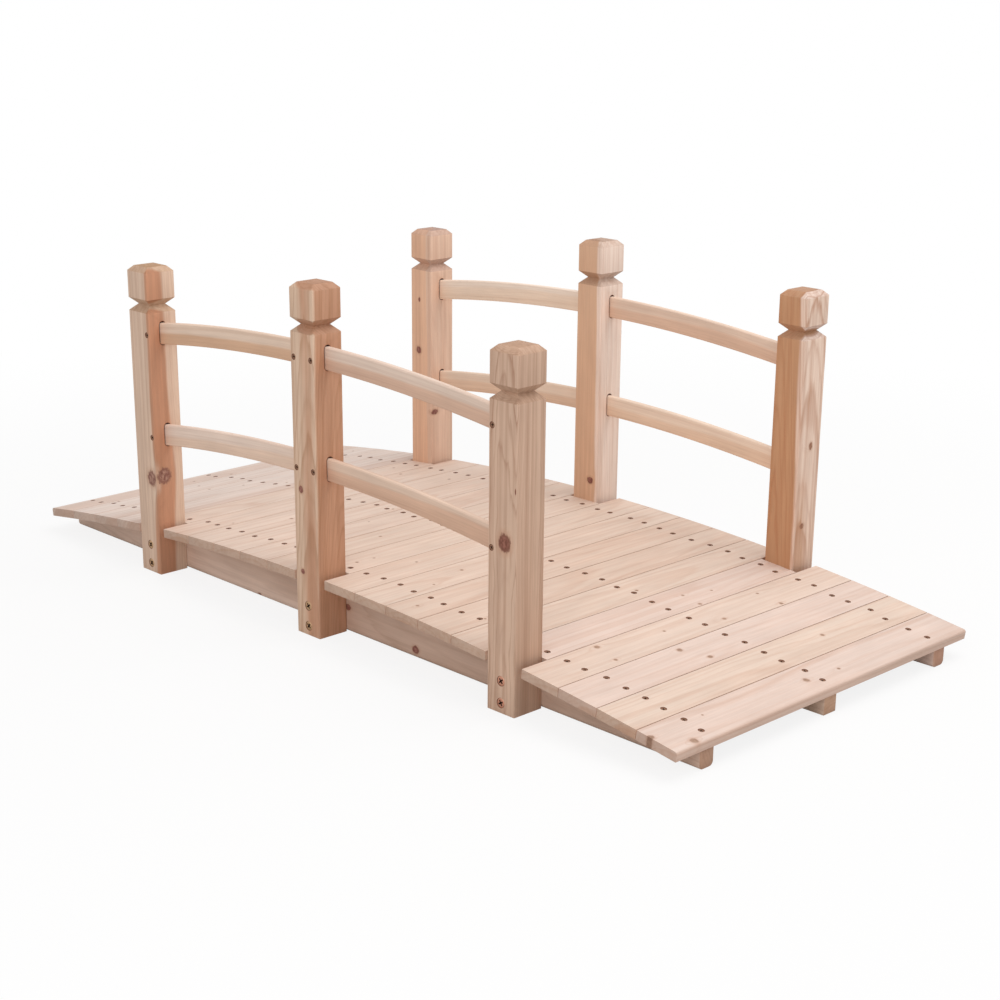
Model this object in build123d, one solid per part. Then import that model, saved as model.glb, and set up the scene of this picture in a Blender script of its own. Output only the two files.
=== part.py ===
from build123d import *
import math
import os

# A low arched garden bridge of planed softwood. Three stringers on edge carry a curved
# deck of cross boards. Six posts stand against the outer stringers, and two levels of
# arched rails are tenoned into them on each side.
# X runs along the bridge, Y across it, and Z = 0 is the ground. The front is the -Y side.
# Sizes are in millimetres.

# Deck boards, counted from an end post outwards and from one post to the next
board_width = 70.4
board_thickness = 14.5
board_gap = 1.2
board_nose_radius = 4.0
boards_per_end = 4
boards_per_bay = 5
deck_side_overhang = 51.0

# Stringers, flat below and curved above
stringer_thickness = 28.0
stringer_span = 568.0
stringer_end_height = 28.0
stringer_arc_radius = 5115.0
stringer_setback = 2.0
stringer_edge_radius = 7.0

# Posts, square, with a bevelled cap above a V groove
post_side = 54.5
end_post_height = 522.0
post_rise = 28.0
post_edge_radius = 1.5
cap_height = 52.0
cap_bevel = 8.5
groove_width = 22.0
groove_depth = 11.8

# Rails, thin boards on edge, arched between the posts
rail_thickness = 10.5
rail_depth = 35.3
rail_rise = 30.0
rail_edge_chamfer = 2.0
upper_rail_drop = 93.0
rail_spacing = 171.5

# Mortises, with round ends, and the fit of the rails in them
mortise_web = 10.0
mortise_side_clearance = 0.75
mortise_top_clearance = 2.2
mortise_end_clearance = 1.0
rail_seat_clearance = 0.05

# Places that follow from the sizes above
board_pitch = board_width + board_gap
post_pitch = (boards_per_bay + 1) * board_pitch
boards_each_way = boards_per_end + 1 + boards_per_bay
post_x = stringer_arc_radius * math.sin(post_pitch / stringer_arc_radius)
last_board_angle = boards_each_way * board_pitch / stringer_arc_radius
deck_end_x = (
    stringer_arc_radius * math.sin(last_board_angle)
    + board_width / 2 * math.cos(last_board_angle)
)
stringer_half_length = deck_end_x - stringer_setback
stringer_rise = stringer_arc_radius - math.sqrt(stringer_arc_radius**2 - stringer_half_length**2)
stringer_mid_height = stringer_end_height + stringer_rise
stringer_arc_centre_z = stringer_mid_height - stringer_arc_radius

outer_stringer_y = (stringer_span - stringer_thickness) / 2
post_y = (stringer_span + post_side) / 2
deck_width = stringer_span + 2 * deck_side_overhang

mid_post_height = end_post_height + post_rise
rail_arc_radius = (post_x**2 + rail_rise**2) / (2 * rail_rise)
tenon_length = (post_side - mortise_web) / 2 - mortise_end_clearance
rail_levels = {
    "upper": mid_post_height - upper_rail_drop,
    "lower": mid_post_height - upper_rail_drop - rail_spacing,
}


def stringer(y, edge_radius):
    """A board on edge at y, with a flat underside and an arched top."""
    end_x = stringer_half_length
    outline = [
        Polyline((-end_x, stringer_end_height), (-end_x, 0), (end_x, 0), (end_x, stringer_end_height)),
        ThreePointArc(
            (end_x, stringer_end_height), (0, stringer_mid_height), (-end_x, stringer_end_height)
        ),
    ]
    side_view = Plane.XZ * make_face(outline)
    board = Pos(0, y, 0) * extrude(side_view, stringer_thickness / 2, both=True)
    if edge_radius > 0:
        lower_edges = board.edges().filter_by(Axis.X).group_by(Axis.Z)[0]
        board = fillet(lower_edges, edge_radius)
    return board


def deck_board(place, length):
    """A cross board laid flat on the stringers, a number of pitches from the middle."""
    board = Pos(0, 0, board_thickness / 2) * Box(board_width, length, board_thickness)
    if abs(place) == boards_each_way:
        outer_side = board.faces().sort_by(Axis.X)[-1 if place > 0 else 0]
        board = fillet(outer_side.edges().sort_by(Axis.Z)[-1], board_nose_radius)
    angle = math.degrees(place * board_pitch / stringer_arc_radius)
    on_crown = Pos(0, 0, stringer_mid_height) * board
    return on_crown.rotate(Axis((0, 0, stringer_arc_centre_z), (0, 1, 0)), angle)


def post_blank(height):
    """A square post with the same cap profile cut on all four sides."""
    half = post_side / 2
    groove_top = height - cap_height
    half_profile = make_face(
        Polyline(
            (0, 0),
            (half, 0),
            (half, groove_top - groove_width),
            (half - groove_depth, groove_top - groove_width / 2),
            (half, groove_top),
            (half, height - cap_bevel),
            (half - cap_bevel, height),
            (0, height),
            close=True,
        )
    )
    side_view = Plane.XZ * (half_profile + mirror(half_profile, about=Plane.YZ))
    across = extrude(side_view, post_side, both=True)
    plan = extrude(RectangleRounded(post_side, post_side, post_edge_radius), height)
    return across & across.rotate(Axis.Z, 90) & plan


def rail_angle(x):
    """The slope of the rails at a distance from the middle of the bridge, in degrees."""
    return math.degrees(math.asin(x / rail_arc_radius))


def rail(y, top_z):
    """The rail of the right bay, with a tenon at each end."""
    outline = Rectangle(rail_thickness, rail_depth)
    outline = chamfer(outline.vertices(), rail_edge_chamfer)
    section = Plane.YZ * Pos(y, top_z - rail_depth / 2) * outline
    axis = Axis((0, 0, top_z - rail_arc_radius), (0, 1, 0))
    start = rail_angle(post_side / 2 - tenon_length)
    end = rail_angle(post_x - post_side / 2 + tenon_length)
    return revolve(section, axis, end - start).rotate(axis, start)


def mortise(y, top_z, tenon_middle_x, bay_direction):
    """A straight round-ended slot along a tenon, open towards the bay."""
    # The rail sinks into the round lower end until its chamfers meet the curve
    slot_radius = rail_thickness / 2 + mortise_side_clearance
    reach = slot_radius - rail_seat_clearance
    lower_corner_y = rail_thickness / 2 - rail_edge_chamfer
    sink = min(
        math.sqrt(reach**2 - lower_corner_y**2),
        math.sqrt(reach**2 - (rail_thickness / 2) ** 2) + rail_edge_chamfer,
    )
    bottom_clearance = slot_radius - sink
    height = bottom_clearance + rail_depth + mortise_top_clearance
    outline = Rot(0, 0, 90) * SlotOverall(height, 2 * slot_radius)
    section = Plane.YZ * Pos(y, top_z + mortise_top_clearance - height / 2) * outline
    blind_end = tenon_length / 2 + mortise_end_clearance
    slot = extrude(Pos(-bay_direction * blind_end, 0, 0) * section, bay_direction * post_side)
    axis = Axis((0, 0, top_z - rail_arc_radius), (0, 1, 0))
    return slot.rotate(axis, rail_angle(tenon_middle_x))


def post(x, y, height):
    """A post at x and y, mortised on each side that faces a bay."""
    body = Pos(x, y, 0) * post_blank(height)
    for top_z in rail_levels.values():
        if x == 0:
            slot = mortise(y, top_z, (post_side - tenon_length) / 2, 1)
            body = body - slot - mirror(slot, about=Plane.YZ)
        else:
            slot = mortise(y, top_z, post_x - (post_side - tenon_length) / 2, -1)
            body = body - (slot if x > 0 else mirror(slot, about=Plane.YZ))
    return body


parts = {
    "stringer_front": stringer(-outer_stringer_y, stringer_edge_radius),
    "stringer_middle": stringer(0, 0),
    "stringer_back": stringer(outer_stringer_y, stringer_edge_radius),
}

for place in range(-boards_each_way, boards_each_way + 1):
    beside_post = place in (-boards_per_bay - 1, 0, boards_per_bay + 1)
    length = stringer_span if beside_post else deck_width
    parts[f"deck_board_{place + boards_each_way + 1:02d}"] = deck_board(place, length)

for side, y in (("front", -post_y), ("back", post_y)):
    parts[f"post_{side}_left"] = post(-post_x, y, end_post_height)
    parts[f"post_{side}_middle"] = post(0, y, mid_post_height)
    parts[f"post_{side}_right"] = post(post_x, y, end_post_height)
    for level, top_z in rail_levels.items():
        right_rail = rail(y, top_z)
        parts[f"rail_{side}_right_{level}"] = right_rail
        parts[f"rail_{side}_left_{level}"] = mirror(right_rail, about=Plane.YZ)

os.makedirs("parts", exist_ok=True)
for name, shape in parts.items():
    export_step(shape, f"parts/{name}.step")
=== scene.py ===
import math
import random

import bmesh
import bpy
from mathutils import Matrix, Vector


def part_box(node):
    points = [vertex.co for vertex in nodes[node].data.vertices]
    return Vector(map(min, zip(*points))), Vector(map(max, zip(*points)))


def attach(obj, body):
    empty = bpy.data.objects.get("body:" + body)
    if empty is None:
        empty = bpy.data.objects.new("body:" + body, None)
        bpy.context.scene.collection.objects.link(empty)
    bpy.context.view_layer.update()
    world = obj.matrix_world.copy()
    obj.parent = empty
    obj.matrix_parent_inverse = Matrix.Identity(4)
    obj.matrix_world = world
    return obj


# A low arched garden bridge of planed fir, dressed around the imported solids.
# X runs along the bridge, Y across it and Z up, all in metres. The front is the -Y side.
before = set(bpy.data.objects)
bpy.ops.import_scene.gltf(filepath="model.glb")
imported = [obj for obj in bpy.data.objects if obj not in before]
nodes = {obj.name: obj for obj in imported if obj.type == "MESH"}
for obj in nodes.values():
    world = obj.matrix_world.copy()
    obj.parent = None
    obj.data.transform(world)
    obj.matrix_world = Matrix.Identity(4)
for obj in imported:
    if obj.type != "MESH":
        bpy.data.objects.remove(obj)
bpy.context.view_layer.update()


# STRINGERS
# Three boards on edge, sawn from 28 mm fir with the arch cut along their upper edge. The planer
# leaves a matt face, on which the growth rings show as brown lines in pinkish cream wood.

MM = 0.001
ALONG, ACROSS, UPWARDS = (1, 0, 0), (0, 1, 0), (0, 0, 1)
STRINGER_ARRIS = 1.0 * MM

# A Mix node's sockets for its two colours, and for the colour that it gives
COLOUR_A, COLOUR_B, COLOUR_OUT = 6, 7, 2


def linear(code):
    """An sRGB hex colour as linear RGBA."""
    parts = [int(code[i : i + 2], 16) / 255 for i in (1, 3, 5)]
    return [c / 12.92 if c <= 0.04045 else ((c + 0.055) / 1.055) ** 2.4 for c in parts] + [1]


def empty_material(name):
    """A material that uses nodes, with none in it yet."""
    material = bpy.data.materials.new(name)
    material.use_nodes = True
    material.node_tree.nodes.clear()
    return material


def add(tree, kind, inputs=(), output=0, **settings):
    """Adds a node and gives one of its outputs. An input is a plain value or another output."""
    node = tree.nodes.new(kind)
    for name, value in settings.items():
        setattr(node, name, value)
    for socket, value in dict(inputs).items():
        if isinstance(value, bpy.types.NodeSocket):
            tree.links.new(value, node.inputs[socket])
        else:
            node.inputs[socket].default_value = value
    return node.outputs[output] if len(node.outputs) else None


def centre_of(name):
    """The centre of a node's box."""
    lowest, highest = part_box(name)
    return (lowest + highest) / 2


def straight_grain(tree, place, turn):
    """Millimetres in a straight piece's own frame, with Z along the grain.

    Its Y goes through the piece's thickness, or a square piece's depth, and its X across it.
    """
    where = add(tree, "ShaderNodeTexCoord", output="Object")
    return add(
        tree, "ShaderNodeMapping",
        {"Vector": where, "Location": place, "Rotation": turn, "Scale": (MM, MM, MM)},
        vector_type="TEXTURE",
    )


def unevenness(tree, local, seed):
    """Noise of several sizes, each given in millimetres across, through and along the piece."""
    # Every piece has its own place in the noise, so that no two look alike
    chance = random.Random(seed)
    shift = [chance.uniform(-900, 900) for _ in range(3)]
    own = add(tree, "ShaderNodeVectorMath", {0: local, 1: shift}, operation="ADD")
    uneven = {}
    # The lean of the trunk, the waver of a ring, tinted streaks, fibres, clouds and the curls of
    # a knot. Fibres are 0.05 mm wide in the real wood and are drawn 1.4 mm wide to show
    for layer, cell, detail, output in (
        ("lean", (130, 130, 420), 1.0, "Color"),
        ("waver", (12, 12, 80), 2.0, 0),
        ("streak", (7, 7, 520), 2.0, 0),
        ("fibre", (1.4, 1.4, 45), 3.0, 0),
        ("cloud", (30, 30, 90), 3.0, 0),
        ("curl", (4, 4, 6), 2.0, 0),
    ):
        scaled = add(tree, "ShaderNodeVectorMath", {0: own, 1: cell}, operation="DIVIDE")
        uneven[layer] = add(
            tree, "ShaderNodeTexNoise", {"Vector": scaled, "Scale": 1.0, "Detail": detail},
            output=output,
        )
    return uneven


# The width of the parted grain round a knot, as a share of its length
WAKE = 0.42


def part_round_knots(tree, local, knots, through):
    """Parts the grain round each knot as a stream parts round a stone.

    Gives where each point of wood would be without the knots, and how far it is from the
    nearest knot, in radii of that knot.
    """
    flow, nearest = local, None
    for *centre, size, stretch in knots:
        off = add(tree, "ShaderNodeVectorMath", {0: local, 1: centre}, operation="SUBTRACT")
        away = add(
            tree, "ShaderNodeVectorMath", {0: off, 1: (1, through, 1 / stretch)},
            operation="MULTIPLY",
        )
        wake = add(tree, "ShaderNodeVectorMath", {0: away, 1: (1, 1, WAKE)}, operation="MULTIPLY")
        square = add(
            tree, "ShaderNodeVectorMath", {0: wake, 1: wake}, output="Value",
            operation="DOT_PRODUCT",
        )
        share = add(
            tree, "ShaderNodeMath", {0: size * size, 1: square}, operation="DIVIDE", use_clamp=True
        )
        aside = add(tree, "ShaderNodeVectorMath", {0: off, 1: (1, 1, 0)}, operation="MULTIPLY")
        push = add(tree, "ShaderNodeVectorMath", {0: aside, "Scale": share}, operation="SCALE")
        flow = add(tree, "ShaderNodeVectorMath", {0: flow, 1: push}, operation="SUBTRACT")
        reach = add(tree, "ShaderNodeVectorMath", {0: away}, output="Value", operation="LENGTH")
        ratio = add(tree, "ShaderNodeMath", {0: reach, 1: size}, operation="DIVIDE")
        nearest = ratio if nearest is None else add(
            tree, "ShaderNodeMath", {0: nearest, 1: ratio}, operation="MINIMUM"
        )
    return flow, nearest


# How far the pith wanders and a ring wavers, in millimetres, and how uneven the years are
PITH_WANDER = 26
RING_WAVER = 4.0
YEAR_UNEVENNESS = 1.1

# Pale early wood and then a hard late line: parts of the year, and how dark the wood is there
YEAR = ((0.0, 0.3), (0.08, 0.0), (0.6, 0.08), (0.9, 1.0), (1.0, 0.3))


def growth_rings(tree, flow, uneven, pith, slope, ring, taper):
    """The distance from the pith, and how much of the dark late wood is there."""
    lean = add(
        tree, "ShaderNodeVectorMath", {0: uneven["lean"], 1: (0.5, 0.5, 0.5)},
        operation="SUBTRACT",
    )
    bent = add(
        tree, "ShaderNodeVectorMath", {0: lean, 1: (PITH_WANDER, PITH_WANDER, 0), 2: flow},
        operation="MULTIPLY_ADD",
    )
    from_pith = add(
        tree, "ShaderNodeMapping",
        {"Vector": bent, "Location": (*pith, 0), "Rotation": (*slope, 0)}, vector_type="TEXTURE",
    )
    level = add(tree, "ShaderNodeVectorMath", {0: from_pith, 1: (1, 1, 0)}, operation="MULTIPLY")
    radius = add(tree, "ShaderNodeVectorMath", {0: level}, output="Value", operation="LENGTH")
    radius = add(
        tree, "ShaderNodeMath", {0: uneven["waver"], 1: RING_WAVER, 2: radius},
        operation="MULTIPLY_ADD",
    )
    height = add(tree, "ShaderNodeSeparateXYZ", {0: flow}, output="Z")
    thinned = add(
        tree, "ShaderNodeMath", {0: height, 1: taper, 2: radius}, operation="MULTIPLY_ADD"
    )
    years = add(tree, "ShaderNodeMath", {0: thinned, 1: ring}, operation="DIVIDE")
    seasons = add(
        tree, "ShaderNodeTexNoise", {"W": years, "Scale": 0.6, "Detail": 1.0},
        noise_dimensions="1D",
    )
    years = add(
        tree, "ShaderNodeMath", {0: seasons, 1: YEAR_UNEVENNESS, 2: years},
        operation="MULTIPLY_ADD",
    )
    in_year = add(tree, "ShaderNodeMath", {0: years}, operation="FRACT")
    late = add(tree, "ShaderNodeValToRGB", {0: in_year})
    ramp = late.node.color_ramp.elements
    while len(ramp) < len(YEAR):
        ramp.new(1)
    for element, (position, shade) in zip(ramp, YEAR):
        element.position = position
        element.color = (shade, shade, shade, 1)

    # Some years leave a much fainter line than others
    which_year = add(tree, "ShaderNodeMath", {0: years}, operation="FLOOR")
    harvest = add(tree, "ShaderNodeTexWhiteNoise", {"W": which_year}, noise_dimensions="1D")
    harvest = add(
        tree, "ShaderNodeMapRange", {"Value": harvest, "To Min": 0.05, "To Max": 1.0}
    )
    late = add(tree, "ShaderNodeMath", {0: late, 1: harvest}, operation="MULTIPLY")
    return radius, late


def knot_wood(tree, colour, nearest, curl, tints, depth):
    """A knot is reddish with darker curls, darker at its ragged rim, in a tan halo."""
    core, rim = (linear(code) for code in tints)
    curls = add(tree, "ShaderNodeMapRange", {"Value": curl, "From Min": 0.42, "From Max": 0.62})
    curled = add(
        tree, "ShaderNodeMix", {0: curls, COLOUR_A: rim, COLOUR_B: core},
        output=COLOUR_OUT, data_type="RGBA",
    )
    ragged = add(
        tree, "ShaderNodeMath", {0: curl, 1: 0.8, 2: nearest}, operation="MULTIPLY_ADD"
    )
    # Each hue begins at one distance from the knot's middle and is full at a nearer one
    for hue, start, full, strength in (
        (linear("#BE8C6E"), 2.5, 1.3, 0.5), (rim, 1.7, 1.3, 0.9), (curled, 1.35, 1.05, 0.85),
    ):
        share = add(
            tree, "ShaderNodeMapRange",
            {"Value": ragged, "From Min": start, "From Max": full, "To Max": strength * depth},
            interpolation_type="SMOOTHSTEP",
        )
        colour = add(
            tree, "ShaderNodeMix", {0: share, COLOUR_A: colour, COLOUR_B: hue},
            output=COLOUR_OUT, data_type="RGBA",
        )
    return colour


def planed_fir(
    wood, local, pith, ring, tints, heart=0.0, slope=(0.0, 0.0), taper=0.0, figure=0.4,
    streak=0.25, knots=(), knot_tints=("#A97464", "#7C463B"), knot_depth=1.0, through=1,
    end_grain_and_shade_tints=(),
):
    """Planed fir as solid wood, so that the faces and ends of one piece agree.

    local is the piece's own frame in millimetres. In it, pith is where the middle of the tree
    was, ring the width of a year's growth and heart the radius of the darker heartwood. slope
    is the lean of the pith, and taper is how fast the trunk thins, which draws pointed arches on
    a flat-sawn face. tints are the sapwood, the heartwood and the latewood lines. figure is how
    strongly the lines show, and streak how strongly streaks do. Each knot is (across, through,
    along, radius, length to width), and through is 0 where knots go right through the piece.
    The tints by world axis darken the faces square to that axis, partly as end grain and partly as
    painted shade.
    """
    tree = wood.node_tree
    sapwood, heartwood, latewood = (linear(code) for code in tints)
    uneven = unevenness(tree, local, wood.name)
    flow, nearest = part_round_knots(tree, local, knots, through)
    radius, late = growth_rings(tree, flow, uneven, pith, slope, ring, taper)

    # Heartwood turns into sapwood over 5 mm, and both have streaks and ring lines
    inner = add(
        tree, "ShaderNodeMapRange",
        {"Value": radius, "From Min": heart + 3, "From Max": heart - 2},
        interpolation_type="SMOOTHSTEP",
    )
    colour = add(
        tree, "ShaderNodeMix", {0: inner, COLOUR_A: sapwood, COLOUR_B: heartwood},
        output=COLOUR_OUT, data_type="RGBA",
    )
    streaks = add(
        tree, "ShaderNodeMapRange",
        {"Value": uneven["streak"], "From Min": 0.4, "From Max": 0.72, "To Max": streak},
    )
    lines = add(tree, "ShaderNodeMath", {0: late, 1: figure}, operation="MULTIPLY")
    for share in (streaks, lines):
        colour = add(
            tree, "ShaderNodeMix", {0: share, COLOUR_A: colour, COLOUR_B: latewood},
            output=COLOUR_OUT, data_type="RGBA",
        )

    # Fibres and clouds make it a few percent darker and lighter
    tone = add(
        tree, "ShaderNodeMapRange",
        {
            "Value": uneven["fibre"], "From Min": 0.25, "From Max": 0.75, "To Min": 0.945,
            "To Max": 1.045,
        },
    )
    patch = add(
        tree, "ShaderNodeMapRange",
        {
            "Value": uneven["cloud"], "From Min": 0.25, "From Max": 0.75, "To Min": 0.94,
            "To Max": 1.05,
        },
    )
    shade = add(tree, "ShaderNodeMath", {0: tone, 1: patch}, operation="MULTIPLY")
    colour = add(tree, "ShaderNodeVectorMath", {0: colour, "Scale": shade}, operation="SCALE")
    if knots:
        colour = knot_wood(tree, colour, nearest, uneven["curl"], knot_tints, knot_depth)

    # Faces square to each axis are darkened: cut ends partly as darker end grain and partly as
    # painted shade, and a board's sawn long sides as painted warm shade
    facing = add(tree, "ShaderNodeNewGeometry", output="True Normal")
    for axis, tint in dict(end_grain_and_shade_tints).items():
        square_on = add(
            tree, "ShaderNodeVectorMath", {0: facing, 1: axis}, output="Value",
            operation="DOT_PRODUCT",
        )
        square_on = add(tree, "ShaderNodeMath", {0: square_on}, operation="ABSOLUTE")
        share = add(
            tree, "ShaderNodeMapRange", {"Value": square_on, "From Min": 0.45, "From Max": 0.95},
            interpolation_type="SMOOTHSTEP",
        )
        colour = add(
            tree, "ShaderNodeMix", {0: share, COLOUR_A: colour, COLOUR_B: linear(tint)},
            output=COLOUR_OUT, data_type="RGBA", blend_type="MULTIPLY",
        )

    # A planed surface, slightly ridged where the rings are hard
    relief = add(
        tree, "ShaderNodeMath", {0: late, 1: 0.5, 2: uneven["fibre"]}, operation="MULTIPLY_ADD"
    )
    bump = add(tree, "ShaderNodeBump", {"Height": relief, "Distance": 0.25 * MM, "Strength": 0.5})
    matt = add(
        tree, "ShaderNodeMapRange",
        {
            "Value": uneven["fibre"], "From Min": 0.2, "From Max": 0.8, "To Min": 0.58,
            "To Max": 0.74,
        },
    )
    surface = add(
        tree, "ShaderNodeBsdfPrincipled",
        {"Base Color": colour, "Roughness": matt, "Normal": bump, "IOR": 1.5},
    )
    add(tree, "ShaderNodeOutputMaterial", {0: surface})


# Flat faces stay flat and the eased edges between them are shaded as round, because only an
# edge that turns by more than this is sharp
SHARP_FROM = math.radians(32)
shading = bpy.data.node_groups.new("crisp_faces", "GeometryNodeTree")
shading.interface.new_socket("Geometry", in_out="INPUT", socket_type="NodeSocketGeometry")
shading.interface.new_socket("Geometry", in_out="OUTPUT", socket_type="NodeSocketGeometry")
edge_angle = add(shading, "GeometryNodeInputMeshEdgeAngle", output="Unsigned Angle")
is_sharp = add(
    shading, "FunctionNodeCompare", {0: edge_angle, 1: SHARP_FROM}, operation="GREATER_THAN"
)
came_in = add(shading, "NodeGroupInput")
normals = add(
    shading, "GeometryNodeSetMeshNormal",
    {"Mesh": came_in, "Remove Custom": True, "Edge Sharpness": is_sharp}, mode="SHARPNESS",
)
add(shading, "NodeGroupOutput", {0: normals})


def dress(name, wood, arris, cutter=None):
    """Gives a node its wood, takes the arris off its edges and cuts its screws' funnels."""
    node = nodes[name]
    node.data.materials.clear()
    node.data.materials.append(wood)
    weld = node.modifiers.new("join_faces", "WELD")
    weld.merge_threshold = 0.01 * MM
    bevel = node.modifiers.new("arris", "BEVEL")
    bevel.width = arris
    bevel.segments = 2
    bevel.limit_method = "ANGLE"
    bevel.angle_limit = math.radians(35)
    if cutter:
        node.data.materials.append(cutter.active_material)
        cut = node.modifiers.new("countersinks", "BOOLEAN")
        cut.operation = "DIFFERENCE"
        cut.solver = "EXACT"
        cut.object = cutter
    node.modifiers.new("crisp_faces", "NODES").node_group = shading


# Piths and knots are in millimetres down, through and along each stringer, from its middle at
# the ground
stringer_looks = {
    "front": dict(
        pith=(-50, 125), heart=150, slope=(0.05, 0), tints=("#ECCFBD", "#D2B3A0", "#A98269"),
        knots=((-41, -14, 31, 4.6, 1.3), (-14, -14, 189, 5.4, 1.2), (-4, -14, -198, 2.0, 2.0)),
    ),
    "middle": dict(
        pith=(70, 12), heart=38, slope=(0.004, 0.006), tints=("#DDBFA9", "#CFA991", "#B58C74"),
        knots=((-30, 0, -260, 6, 1.2),),
    ),
    "back": dict(
        pith=(-30, 30), heart=38, slope=(0.004, 0.006), tints=("#E1C4B5", "#D2AD9B", "#B8907D"),
        knots=((-35, 14, 230, 7, 1.2), (-22, 14, -420, 5, 1.4)),
    ),
}
for place, look in stringer_looks.items():
    name = f"stringer_{place}"
    wood = empty_material(f"planed_fir_{name}")
    local = straight_grain(wood.node_tree, (0, centre_of(name).y, 0), (0, math.pi / 2, 0))
    # Their cut ends are darkened partly as end grain and partly with painted shade
    planed_fir(wood, local, ring=5.5, figure=0.35, end_grain_and_shade_tints={ALONG: "#E3D2C4"}, **look)
    dress(name, wood, STRINGER_ARRIS)


# COUNTERSUNK SCREWS
# Bugle-head chipboard screws of brown-coated steel, 7.6 mm across with a cross recess. They are
# driven a millimetre below the face into a funnel of crushed wood, darkened with painted shade. Two
# go through each board into each stringer, and more hold the rails in their mortises.

HEAD_RADIUS = 3.8 * MM
HEAD_DOME = 0.15 * MM
SUNK = 0.9 * MM
FUNNEL_RADIUS = 4.8 * MM


def circle(radius, height, count):
    """Points round the Z axis."""
    angles = (2 * math.pi * i / count for i in range(count))
    return [Vector((radius * math.cos(a), radius * math.sin(a), height)) for a in angles]


def loop(bm, matrix, points):
    """Vertices for a closed row of points."""
    return [bm.verts.new(matrix @ point) for point in points]


def bridge(bm, upper, lower, slot=0):
    """A band of faces between two loops, in a material slot."""
    for i in range(len(upper)):
        bm.faces.new((upper[i - 1], upper[i], lower[i], lower[i - 1])).material_index = slot


def screw_head(bm, matrix, radius, dome):
    """A screw head with a cross recess, its rim at the matrix's origin and facing its Z."""
    rim_points = 32
    arm, half_width, recess_depth = 0.64 * radius, 0.17 * radius, 0.45 * radius
    narrowed = 0.62
    cross = []
    for quarter in range(4):
        turn = Matrix.Rotation(quarter * math.pi / 2, 3, "Z")
        for x, y in ((half_width, half_width), (half_width, arm), (-half_width, arm)):
            cross.append(turn @ Vector((x, y, 0)))

    top = loop(bm, matrix, circle(0.84 * radius, dome, rim_points))
    mouth = loop(bm, matrix, [point + Vector((0, 0, dome)) for point in cross])
    outlines = [bm.edges.new((row[i - 1], row[i])) for row in (top, mouth) for i in range(len(row))]
    bmesh.ops.triangle_fill(bm, edges=outlines, use_beauty=True)

    # Round the flat top come a rounded shoulder, the rim, and a cone down to the neck
    shoulder = loop(bm, matrix, circle(0.95 * radius, 0.55 * dome, rim_points))
    rim = loop(bm, matrix, circle(radius, 0, rim_points))
    neck = loop(bm, matrix, circle(0.45 * radius, -0.6 * radius, rim_points))
    bridge(bm, top, shoulder)
    bridge(bm, shoulder, rim)
    bridge(bm, rim, neck)
    bm.faces.new(neck)

    recess_floor = Vector((0, 0, dome - recess_depth))
    bottom = loop(bm, matrix, [point * narrowed + recess_floor for point in cross])
    # The recess faces take slot 1, with its painted shade
    bridge(bm, bottom, mouth, slot=1)
    bm.faces.new(bottom).material_index = 1


def countersink(bm, matrix, mouth, radius, depth):
    """The cutter for one funnel, from just above the face down past the screw's neck."""
    levels = (
        (mouth + 0.4 * MM, 0.5 * MM), (mouth, 0), (radius + 0.15 * MM, -depth),
        (0.5 * radius, -depth - 0.65 * radius),
    )
    mouth_points = 24
    loops = [loop(bm, matrix, circle(size, height, mouth_points)) for size, height in levels]
    for upper, lower in zip(loops, loops[1:]):
        bridge(bm, upper, lower)
    bm.faces.new(loops[0])
    bm.faces.new(loops[-1])


def sink_screw(heads, funnels, spot, twist):
    """One small screw and its funnel, at a matrix on a face that looks along its Z."""
    seat = spot @ Matrix.Translation((0, 0, -SUNK)) @ Matrix.Rotation(twist, 4, "Z")
    screw_head(heads, seat, HEAD_RADIUS, HEAD_DOME)
    countersink(funnels, spot, FUNNEL_RADIUS, HEAD_RADIUS, SUNK)


def mesh_object(name, bm, *materials):
    """A mesh as an object of the scene, with its materials in their slots."""
    bmesh.ops.recalc_face_normals(bm, faces=bm.faces)
    mesh = bpy.data.meshes.new(name)
    bm.to_mesh(mesh)
    bm.free()
    for material in materials:
        mesh.materials.append(material)
    thing = bpy.data.objects.new(name, mesh)
    bpy.context.scene.collection.objects.link(thing)
    return thing


def hidden_cutter(name, bm):
    """The funnels of one node as an object that only cuts, in slot 1 as on the node."""
    for face in bm.faces:
        face.material_index = 1
    # The cut faces of the funnels take the painted funnel shade
    cutter = mesh_object(name, bm, crushed_fir, crushed_fir)
    cutter.hide_render = True
    cutter.display_type = "WIRE"
    return cutter


# A brown lacquer over steel is slightly mottled, with a dull sheen and no glint of metal
coated_steel = empty_material("brown_lacquered_steel")
tree = coated_steel.node_tree
where = add(tree, "ShaderNodeTexCoord", output="Object")
mottle = add(tree, "ShaderNodeTexNoise", {"Vector": where, "Scale": 1 / (1.5 * MM), "Detail": 3.0})
lacquer = add(
    tree, "ShaderNodeMix",
    {0: mottle, COLOUR_A: linear("#74482F"), COLOUR_B: linear("#A87E62")},
    output=COLOUR_OUT, data_type="RGBA",
)
dull = add(tree, "ShaderNodeMapRange", {"Value": mottle, "To Min": 0.4, "To Max": 0.6})
steel = add(
    tree, "ShaderNodeBsdfPrincipled", {"Base Color": lacquer, "Roughness": dull, "IOR": 1.5}
)
add(tree, "ShaderNodeOutputMaterial", {0: steel})

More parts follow.
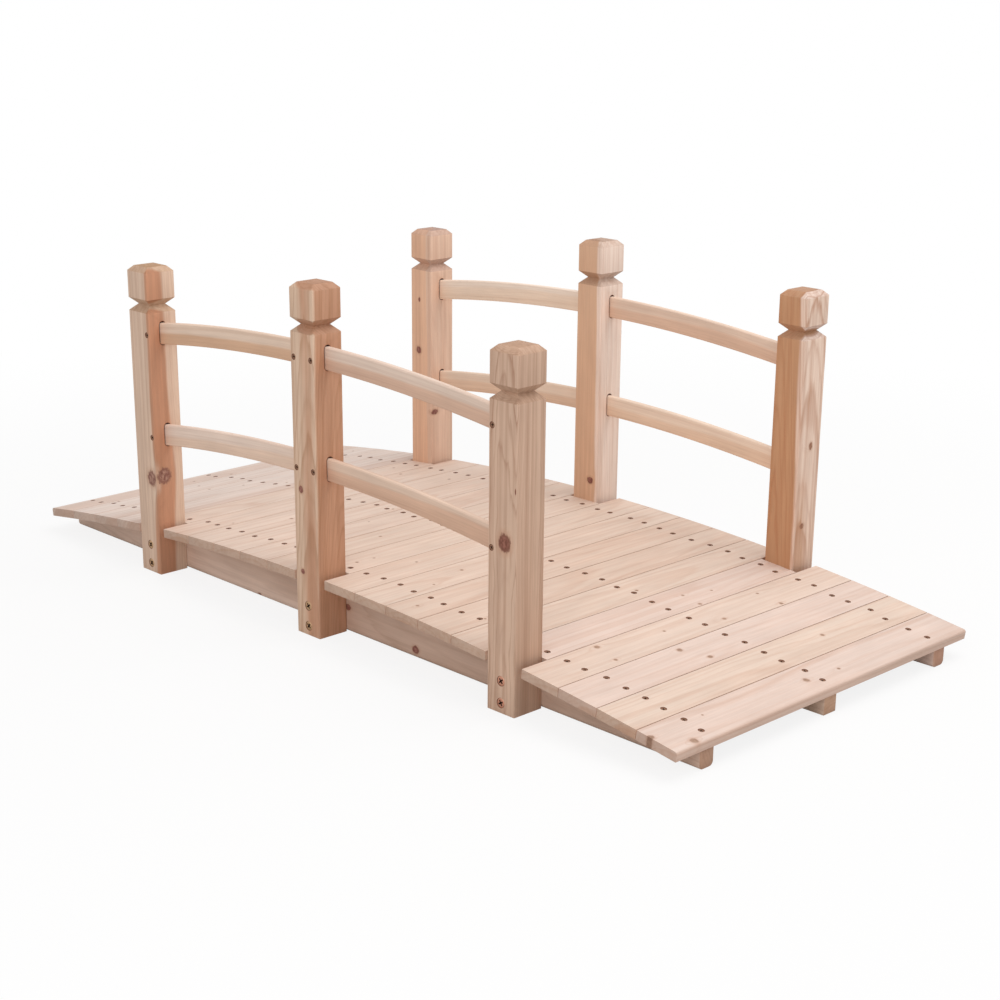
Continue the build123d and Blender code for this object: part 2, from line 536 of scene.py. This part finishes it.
# Painted shade in the deep cross recess, which reads as a dark cross
blackened_recess = empty_material("blackened_recess")
tree = blackened_recess.node_tree
where = add(tree, "ShaderNodeTexCoord", output="Object")
mottle = add(tree, "ShaderNodeTexNoise", {"Vector": where, "Scale": 1 / (0.8 * MM), "Detail": 2.0})
recess_shade = add(
    tree, "ShaderNodeMix",
    {0: mottle, COLOUR_A: linear("#1E0E09"), COLOUR_B: linear("#38211A")},
    output=COLOUR_OUT, data_type="RGBA",
)
recess_surface = add(
    tree, "ShaderNodeBsdfPrincipled",
    {"Base Color": recess_shade, "Roughness": 0.8, "Specular IOR Level": 0.2},
)
add(tree, "ShaderNodeOutputMaterial", {0: recess_surface})

# Painted shade in the funnel under a screw's head: fir much darker than the face, with the torn
# relief of crushed fibres
crushed_fir = empty_material("crushed_fir")
tree = crushed_fir.node_tree
where = add(tree, "ShaderNodeTexCoord", output="Object")
torn = add(tree, "ShaderNodeTexNoise", {"Vector": where, "Scale": 1 / (1.2 * MM), "Detail": 3.0})
funnel_shade = add(
    tree, "ShaderNodeMix",
    {0: torn, COLOUR_A: linear("#46261A"), COLOUR_B: linear("#95664C")},
    output=COLOUR_OUT, data_type="RGBA",
)
torn_relief = add(tree, "ShaderNodeBump", {"Height": torn, "Distance": 0.3 * MM, "Strength": 0.6})
funnel_surface = add(
    tree, "ShaderNodeBsdfPrincipled",
    {"Base Color": funnel_shade, "Roughness": 0.85, "Normal": torn_relief, "IOR": 1.5},
)
add(tree, "ShaderNodeOutputMaterial", {0: funnel_surface})


# DECK BOARDS
# Twenty-one fir boards, 70 by 14.5 mm, laid across the stringers a millimetre apart. The three
# beside the posts are shorter. Most are pale sapwood with small knots, and their front and back
# ends are sawn end grain.

BOARD_COUNT = 21
BOARD_PITCH = 71.6 * MM
BOARD_THICKNESS = 14.5 * MM
BOARD_ARRIS = 0.25 * MM
ARC_RADIUS = 5115 * MM

# Two screws into each stringer, set by hand and so scattered across and along the board
SCREW_ROWS = (-260 * MM, 0, 260 * MM)
SCREW_COLUMNS = (-18 * MM, 15 * MM)
SCATTER_ACROSS = 3 * MM
SCATTER_ALONG = 4.5 * MM

# The deck's arc has its centre below the bridge
arc_centre = Vector((0, 0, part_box("stringer_middle")[1].z - ARC_RADIUS))

# Knots by board, in millimetres: across, along, radius
deck_knots = {
    11: ((0, -239, 2.4), (2, -205, 1.8)),
    12: ((-10, -168, 2.0),),
    13: ((-7, -140, 2.4), (14, -218, 1.6)),
    16: ((8, 13, 2.4),),
    17: ((30, 53, 3.0), (-8, 57, 2.4), (5, 110, 1.8)),
    18: (
        (20, -203, 2.6), (-25, -194, 4.0), (-6, -70, 2.0), (16, 41, 2.8), (-17, 161, 2.0),
        (29, 162, 3.0),
    ),
    19: ((19, -80, 3.6), (-21, -101, 4.2)),
    20: ((-6, 123, 3.0),),
    21: ((26, -291, 5.5), (-12, -333, 4.5), (-14, -227, 1.6), (1, -19, 4.4), (5, 52, 2.2)),
}

# Sapwood, heartwood and latewood, from the pinkest board to the yellowest
rose, pink, cream, straw, honey = (
    ("#E8D6CB", "#DFC7B9", "#CFAC98"),
    ("#E3CCBF", "#DBBDAB", "#CDA58E"),
    ("#E4CDBD", "#DCBDA8", "#CBA289"),
    ("#E3CCBB", "#DCBBA5", "#CA9F85"),
    ("#E0C7B5", "#D9B6A0", "#C69A80"),
)
board_tints = {
    1: rose, 2: rose, 3: rose, 4: rose, 10: straw, 11: straw, 12: straw, 13: straw, 14: honey,
    15: honey, 16: straw, 20: straw,
}
chance = random.Random(21)
for number in range(1, BOARD_COUNT + 1):
    steps = number - (BOARD_COUNT + 1) // 2
    angle = steps * BOARD_PITCH / ARC_RADIUS
    crown = Matrix.Translation(arc_centre) @ Matrix.Rotation(angle, 4, "Y")
    top = crown @ Matrix.Translation((0, 0, ARC_RADIUS + BOARD_THICKNESS))
    centre = crown @ Vector((0, 0, ARC_RADIUS + BOARD_THICKNESS / 2))
    name = f"deck_board_{number:02d}"
    heads, funnels = bmesh.new(), bmesh.new()
    for row in SCREW_ROWS:
        for across in SCREW_COLUMNS:
            x = across + chance.uniform(-SCATTER_ACROSS, SCATTER_ACROSS)
            y = row + chance.uniform(-SCATTER_ALONG, SCATTER_ALONG)
            spot = top @ Matrix.Translation((x, y, 0))
            sink_screw(heads, funnels, spot, chance.uniform(0, math.pi / 2))
    screws = mesh_object(f"screws_{name}", heads, coated_steel, blackened_recess)
    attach(screws, "root")
    knots = [(across, 0, along, size, 1.0) for across, along, size in deck_knots.get(number, ())]
    if not knots:
        for _ in range(chance.randint(1, 3)):
            spread = chance.uniform(-28, 28), 0, chance.uniform(-300, 300)
            knots.append((*spread, chance.uniform(1.4, 3.0), 1.0))
    wood = empty_material(f"planed_fir_{name}")
    local = straight_grain(wood.node_tree, centre, (-math.pi / 2, angle, 0))
    long_side = tuple(crown.to_3x3() @ Vector(ALONG))
    planed_fir(
        wood, local, pith=(chance.uniform(-45, 45), chance.uniform(35, 90)),
        ring=chance.uniform(5, 9), tints=board_tints.get(number, chance.choice((pink, cream))),
        heart=chance.choice((0, 0, 45, 60)),
        slope=(chance.uniform(-0.02, 0.02), chance.uniform(-0.01, 0.01)), taper=0.02,
        figure=chance.uniform(0.2, 0.5), streak=0.35, knots=knots,
        knot_tints=("#AE8B72", "#93705A"), knot_depth=0.75, through=0,
        # The board ends are darkened as end grain and painted shade, the long sides with painted
        # warm shade
        end_grain_and_shade_tints={ACROSS: "#E0D5CD", long_side: "#F7EEE8"},
    )
    dress(name, wood, BOARD_ARRIS, hidden_cutter(f"cutter_{name}", funnels))


# FOOT SCREWS
# Two screws, 14.5 mm across and plated with yellow zinc, through the foot of each post into the
# stringer. Their oval heads end flush with the face, with a deep cross recess.

FOOT_SCREW_RADIUS = 7.2 * MM
FOOT_SCREW_SUNK = 0.75 * MM
FOOT_SCREW_DOME = 0.6 * MM
FOOT_FUNNEL_RADIUS = FOOT_SCREW_RADIUS + 0.5 * MM
FOOT_SCREW_HEIGHTS = (15 * MM, 48 * MM)


def on_outer_face(place, x, height):
    """A matrix on a post's outer face, x from its middle line, with Z out of the wood."""
    name = f"post_{place}"
    lowest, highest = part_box(name)
    if place.startswith("front"):
        face_y, turn = lowest.y, math.pi / 2
    else:
        face_y, turn = highest.y, -math.pi / 2
    spot = Matrix.Translation((centre_of(name).x + x, face_y, height))
    return spot @ Matrix.Rotation(turn, 4, "X")


# Yellow zinc is bright and slightly uneven, coppery on the right posts and brassy on the others
plated = empty_material("yellow_zinc_plated_steel")
tree = plated.node_tree
where = add(tree, "ShaderNodeTexCoord", output="Object")
along = add(tree, "ShaderNodeSeparateXYZ", {0: where}, output="X")
batch = add(
    tree, "ShaderNodeMapRange", {"Value": along, "From Min": 50 * MM, "From Max": 400 * MM}
)
plating = add(
    tree, "ShaderNodeMix",
    {0: batch, COLOUR_A: linear("#D3AE88"), COLOUR_B: linear("#DBA087")},
    output=COLOUR_OUT, data_type="RGBA",
)
mottle = add(tree, "ShaderNodeTexNoise", {"Vector": where, "Scale": 1 / (2.5 * MM), "Detail": 2.0})
sheen = add(tree, "ShaderNodeMapRange", {"Value": mottle, "To Min": 0.28, "To Max": 0.42})
plate = add(
    tree, "ShaderNodeBsdfPrincipled", {"Base Color": plating, "Roughness": sheen, "Metallic": 1.0}
)
add(tree, "ShaderNodeOutputMaterial", {0: plate})

# The posts' other screws draw from this row of chances after these
chance = random.Random(12)
for place in (f"{side}_{end}" for side in ("front", "back") for end in ("left", "middle", "right")):
    heads = bmesh.new()
    for height in FOOT_SCREW_HEIGHTS:
        twist = Matrix.Rotation(chance.uniform(0.5, 1.1), 4, "Z")
        seat = on_outer_face(place, 0, height) @ Matrix.Translation((0, 0, -FOOT_SCREW_SUNK))
        screw_head(heads, seat @ twist, FOOT_SCREW_RADIUS, FOOT_SCREW_DOME)
    screws = mesh_object(f"foot_screws_{place}", heads, plated, blackened_recess)
    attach(screws, "root")


# POSTS
# Six posts of 54.5 mm square fir, each with a bevelled cap above a V groove and round-ended
# mortises for the rails. Sunk screws through the outer face hold each rail's tenon.

POST_ARRIS = 0.5 * MM

# The rails' upper edges follow arcs of this radius, and their mortises lie 17 mm below them
RAIL_RADIUS = 3083.7 * MM
UPPER_RAIL_TOP = 457 * MM
LOWER_RAIL_TOP = 285.5 * MM
MORTISE_ARC = RAIL_RADIUS - 17.15 * MM
rail_centres = {"upper": UPPER_RAIL_TOP - RAIL_RADIUS, "lower": LOWER_RAIL_TOP - RAIL_RADIUS}

# How far the screws of the tenons are from a post's middle line, and their heights
END_SCREW_OFFSET = 21 * MM
END_SCREW_HEIGHTS = (412.5 * MM, 239.5 * MM)
MIDDLE_SCREW_OFFSET = 20 * MM
MIDDLE_SCREW_HEIGHTS = (438 * MM, 267 * MM)

# In millimetres across a post: the middle and half the length of where the mortises lie, which
# is towards the bay in an end post and all across a middle one
END_MORTISE_MIDDLE, END_MORTISE_HALF = 16, 12
MIDDLE_MORTISE_HALF = 28

# In millimetres: the straight part of a mortise's side, how far its painted shade reaches from the
# middle line of the slot, and how fast it ends
MORTISE_STRAIGHT = 26.7
MORTISE_SHADE_EDGE = 7.0
MORTISE_SHADE_FADE = 0.4


def above_arc(tree, along, up, radius, centre_z):
    """How far above an arc over the bridge a point is, in millimetres."""
    rise = add(tree, "ShaderNodeMath", {0: up, 1: centre_z}, operation="SUBTRACT")
    flat = add(tree, "ShaderNodeCombineXYZ", {0: along, 1: rise})
    out = add(tree, "ShaderNodeVectorMath", {0: flat}, output="Value", operation="LENGTH")
    return add(
        tree, "ShaderNodeMath", {0: out, 1: 1 / MM, 2: -radius / MM}, operation="MULTIPLY_ADD"
    )


def paint_mortise_shade(wood, local, middle, half_length):
    """Paints shade on a post where its mortises were cut, inside and in a thin line round each
    mouth, as the shadowed gap round each rail.

    middle and half_length are where the mortises lie across the post.
    """
    tree = wood.node_tree
    where = add(tree, "ShaderNodeTexCoord", output="Object")
    along, _, up = add(tree, "ShaderNodeSeparateXYZ", {0: where}).node.outputs
    across, through, _ = add(tree, "ShaderNodeSeparateXYZ", {0: local}).node.outputs
    mortise_shade = 0.0
    for centre_z in rail_centres.values():
        off = above_arc(tree, along, up, MORTISE_ARC, centre_z)
        off = add(tree, "ShaderNodeMath", {0: off}, operation="ABSOLUTE")
        past = add(tree, "ShaderNodeMath", {0: off, 1: MORTISE_STRAIGHT / 2}, operation="SUBTRACT")
        past = add(tree, "ShaderNodeMath", {0: past, 1: 0.0}, operation="MAXIMUM")
        reach = add(tree, "ShaderNodeCombineXYZ", {0: through, 1: past})
        reach = add(tree, "ShaderNodeVectorMath", {0: reach}, output="Value", operation="LENGTH")
        near = add(
            tree, "ShaderNodeMapRange",
            {"Value": reach, "From Min": MORTISE_SHADE_EDGE, "From Max": MORTISE_SHADE_EDGE - MORTISE_SHADE_FADE},
        )
        mortise_shade = add(tree, "ShaderNodeMath", {0: mortise_shade, 1: near}, operation="MAXIMUM")
    beside = add(
        tree, "ShaderNodeMath", {0: across, 1: middle, 2: half_length}, operation="COMPARE"
    )
    mortise_shade = add(tree, "ShaderNodeMath", {0: mortise_shade, 1: beside}, operation="MULTIPLY")
    # Painted shade: dark brown inside the mortises and in the thin line round their mouths
    painted = tree.nodes["Principled BSDF"].inputs["Base Color"]
    colour = add(
        tree, "ShaderNodeMix",
        {0: mortise_shade, COLOUR_A: painted.links[0].from_socket, COLOUR_B: linear("#6E3A22")},
        output=COLOUR_OUT, data_type="RGBA",
    )
    tree.links.new(colour, painted)


# Knots and piths are in millimetres across, through and up each post, from the middle of its foot
# The tint for a post's upward faces darkens its top, partly as end grain and partly with painted
# shade
post_looks = {
    "front_left": dict(
        pith=(46, -20), ring=4.2, tints=("#E5C7B0", "#CB9373", "#B08064"), heart=33, figure=0.3,
        slope=(0.0, 0.02), taper=0.01, end_grain_and_shade_tints={UPWARDS: "#CBB79A"},
        knots=((14, -27, 168, 10.5, 1.1), (27, -11, 172, 12.5, 1.0), (5, 20, 300, 4, 1.0)),
        knot_tints=("#BE9380", "#86584A"),
    ),
    "front_middle": dict(
        pith=(10, 22), ring=4.2, tints=("#E2C2A8", "#CC9A7C", "#A8744F"), heart=49, figure=0.5,
        taper=0.05, end_grain_and_shade_tints={UPWARDS: "#DCD8D3"},
        knots=((-10.4, -27, 234, 4.4, 1.2), (-11, -27, 102, 4.0, 1.0)),
    ),
    "front_right": dict(
        pith=(5, 45), ring=2.2, tints=("#D6B49C", "#C9A080", "#9A694E"), heart=20, figure=0.7,
        taper=0.017, end_grain_and_shade_tints={UPWARDS: "#D8CCBF"},
        knots=((5, -27, 252, 10.5, 1.15), (25, -27, 328, 1.0, 4.0)),
        knot_tints=("#9C6453", "#74402F"),
    ),
    "back_left": dict(
        pith=(-30, -30), ring=5.0, tints=("#E8C4AC", "#F0C3A3", "#C6957A"), heart=48, figure=0.22,
        taper=0.02, end_grain_and_shade_tints={UPWARDS: "#C3BDC3"},
        knots=((-7, -27, 297, 6.0, 1.0), (-5, -27, 393, 2.6, 1.3), (27, -19, 182, 7.5, 0.6)),
    ),
    "back_middle": dict(
        pith=(-22, -40), ring=4.6, tints=("#F8E1D2", "#DFB595", "#C8997C"), heart=46, figure=0.22,
        taper=0.02, end_grain_and_shade_tints={UPWARDS: "#BBADA3"}, knots=((12, -27, 135, 6.0, 0.9),),
    ),
    "back_right": dict(
        pith=(-13, -4), ring=5.2, tints=("#F6DBC8", "#C99872", "#B4764F"), heart=47, figure=0.6,
        slope=(0.0, -0.025), taper=0.045, end_grain_and_shade_tints={UPWARDS: "#E2E5EE"},
        knots=((27, 3, 277, 3.6, 1.5), (27, -8, 147, 4.8, 0.8)),
        knot_tints=("#BE9070", "#93644A"),
    ),
}
for place, look in post_looks.items():
    if place.endswith("middle"):
        offsets, heights = (-MIDDLE_SCREW_OFFSET, MIDDLE_SCREW_OFFSET), MIDDLE_SCREW_HEIGHTS
        mortises = 0, MIDDLE_MORTISE_HALF
    else:
        to_bay = 1 if place.endswith("left") else -1
        offsets, heights = (to_bay * END_SCREW_OFFSET,), END_SCREW_HEIGHTS
        mortises = to_bay * END_MORTISE_MIDDLE, END_MORTISE_HALF
    heads, funnels = bmesh.new(), bmesh.new()
    for x in offsets:
        for height in heights:
            spot = on_outer_face(place, x, height)
            sink_screw(heads, funnels, spot, chance.uniform(0, math.pi / 2))
    for height in FOOT_SCREW_HEIGHTS:
        spot = on_outer_face(place, 0, height)
        countersink(funnels, spot, FOOT_FUNNEL_RADIUS, FOOT_SCREW_RADIUS, FOOT_SCREW_SUNK)
    screws = mesh_object(f"screws_post_{place}", heads, coated_steel, blackened_recess)
    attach(screws, "root")
    name = f"post_{place}"
    wood = empty_material(f"planed_fir_{name}")
    local = straight_grain(wood.node_tree, (centre_of(name).x, centre_of(name).y, 0), (0, 0, 0))
    planed_fir(wood, local, streak=0.4, **look)
    paint_mortise_shade(wood, local, *mortises)
    dress(name, wood, POST_ARRIS, hidden_cutter(f"cutter_{name}", funnels))


# RAILS
# Eight thin boards of fir, 10.5 by 35 mm, arched on edge so that their grain follows the bend.
# Each shows a pale sapwood upper part and a browner lower part.

RAIL_ARRIS = 0.6 * MM

# In millimetres: how far the pith lies below the upper edge, which is beyond the lower one
PITH_BELOW = 90


def bent_grain(tree, middle_y, radius, centre_z):
    """Millimetres in a bent piece's own frame: up from its arc, in from its middle, and along."""
    where = add(tree, "ShaderNodeTexCoord", output="Object")
    along, across, up = add(tree, "ShaderNodeSeparateXYZ", {0: where}).node.outputs
    rise = add(tree, "ShaderNodeMath", {0: up, 1: centre_z}, operation="SUBTRACT")
    angle = add(tree, "ShaderNodeMath", {0: along, 1: rise}, operation="ARCTAN2")
    bent_along = add(tree, "ShaderNodeMath", {0: angle, 1: radius / MM}, operation="MULTIPLY")
    above = above_arc(tree, along, up, radius, centre_z)
    inward = add(
        tree, "ShaderNodeMath", {0: across, 1: 1 / MM, 2: -middle_y / MM},
        operation="MULTIPLY_ADD",
    )
    return add(tree, "ShaderNodeCombineXYZ", {0: above, 1: inward, 2: bent_along})


# Sapwood, heartwood and latewood, and how far below the upper edge the heartwood begins
rail_looks = {
    "front_left_upper": ("#EBD0BB", "#E2B898", "#BF9475", 12),
    "front_left_lower": ("#F0D8C8", "#EBCCB6", "#C8A289", 15),
    "front_right_upper": ("#E6CEBD", "#DFB9A1", "#BC937C", 14),
    "front_right_lower": ("#E3C6B1", "#DDB59B", "#B78D74", 10),
    "back_left_upper": ("#FAE8D8", "#F6DEC8", "#D6B296", 12),
    "back_left_lower": ("#F0D8C3", "#EACAB0", "#C8A082", 11),
    "back_right_upper": ("#EDD3BF", "#E7C3AA", "#C69E84", 14),
    "back_right_lower": ("#F5DDC8", "#EFD0B6", "#CCA488", 12),
}
for place, (*tints, heart_edge) in rail_looks.items():
    name = f"rail_{place}"
    level = place.split("_")[2]
    wood = empty_material(f"planed_fir_{name}")
    local = bent_grain(wood.node_tree, centre_of(name).y, RAIL_RADIUS, rail_centres[level])
    planed_fir(
        wood, local, pith=(-PITH_BELOW, 9), ring=4.2, tints=tints, heart=PITH_BELOW - heart_edge,
        slope=(0.0, 0.002), figure=0.22, streak=0.35,
    )
    dress(name, wood, RAIL_ARRIS)


# STUDIO
# A white floor that fades into a white background, a large soft lamp above the bridge, a weaker
# one in front of it, and even light from all round.

WHITE = linear("#FFFFFF")
world = bpy.data.worlds.new("studio")
bpy.context.scene.world = world
world.use_nodes = True
tree = world.node_tree
tree.nodes.clear()
ray = add(tree, "ShaderNodeLightPath").node.outputs
seen = add(
    tree, "ShaderNodeMath", {0: ray["Is Camera Ray"], 1: ray["Is Glossy Ray"]},
    operation="MAXIMUM",
)
around = add(tree, "ShaderNodeBackground", {"Color": WHITE, "Strength": 0.58})
backdrop = add(tree, "ShaderNodeBackground", {"Color": WHITE, "Strength": 1.0})
shown = add(tree, "ShaderNodeMixShader", {0: seen, 1: around, 2: backdrop})
add(tree, "ShaderNodeOutputWorld", {0: shown})

# In metres: the floor's radius, and how far from the middle it fades into the background
FLOOR_RADIUS = 60
FADE_START, FADE_END = 0.7, 2.2

# Smooth white paper without a sheen, so that it shows the shadow and no reflection
paper = empty_material("white_paper_floor")
tree = paper.node_tree
ray = add(tree, "ShaderNodeLightPath").node.outputs
where = add(tree, "ShaderNodeTexCoord", output="Object")
away = add(tree, "ShaderNodeVectorMath", {0: where}, output="Value", operation="LENGTH")
fade = add(
    tree, "ShaderNodeMapRange",
    {"Value": away, "From Min": FADE_START, "From Max": FADE_END, "To Min": 0.85, "To Max": 1.0},
    interpolation_type="SMOOTHSTEP",
)
seen = add(tree, "ShaderNodeMath", {0: ray["Is Camera Ray"], 1: fade}, operation="MULTIPLY")
# The floor throws less light up than it shows, so that undersides stay darker than tops
paper_colour = add(
    tree, "ShaderNodeMix",
    {0: ray["Is Camera Ray"], COLOUR_A: linear("#D7D6D4"), COLOUR_B: linear("#EFEDEC")},
    output=COLOUR_OUT, data_type="RGBA",
)
matt_paper = add(tree, "ShaderNodeBsdfDiffuse", {"Color": paper_colour})
bright = add(tree, "ShaderNodeEmission", {"Color": WHITE, "Strength": 1.0})
mixed = add(tree, "ShaderNodeMixShader", {0: seen, 1: matt_paper, 2: bright})
add(tree, "ShaderNodeOutputMaterial", {0: mixed})

# It lies just below the feet, so that the two don't share a plane
bm = bmesh.new()
bmesh.ops.create_circle(bm, cap_ends=True, segments=96, radius=FLOOR_RADIUS)
floor = mesh_object("studio_floor", bm, paper)
floor.location.z = -0.5 * MM

# Where each lamp is and what it aims at, the side of its square, and its power in watts
for name, spot, aim, size, power in (
    ("key_lamp", (0.9, 0.6, 3.1), (0.2, 0, 0.1), 2.4, 52),
    ("fill_lamp", (1.6, -2.8, 1.7), (0, 0, 0.2), 2.0, 24),
):
    lamp = bpy.data.lights.new(name, "AREA")
    lamp.shape = "SQUARE"
    lamp.size = size
    lamp.energy = power
    holder = bpy.data.objects.new(name, lamp)
    holder.location = spot
    holder.rotation_euler = (Vector(aim) - Vector(spot)).to_track_quat("-Z", "Y").to_euler()
    bpy.context.scene.collection.objects.link(holder)

# The camera stands off the front right corner, above the rails, and leans by a part of a degree
EYE = Vector((2.1754, -2.0468, 1.0263))
AIM = Vector((0.4254, -0.3534, 0.2))
ROLL = 0.0073
towards = (AIM - EYE).normalized()
right = towards.cross(Vector(UPWARDS)).normalized()
up = right.cross(towards)
leaning_right = math.cos(ROLL) * right + math.sin(ROLL) * up
leaning_up = math.cos(ROLL) * up - math.sin(ROLL) * right
lens = bpy.data.cameras.new("camera")
lens.sensor_width = 36
lens.lens = 67.65
lens.shift_x = 0.008
lens.shift_y = 0.080
camera = bpy.data.objects.new("camera", lens)
axes = Matrix((leaning_right, leaning_up, -towards)).transposed()
camera.matrix_world = Matrix.Translation(EYE) @ axes.to_4x4()
bpy.context.scene.collection.objects.link(camera)
bpy.context.scene.camera = camera
bpy.context.scene.view_settings.view_transform = "Standard"
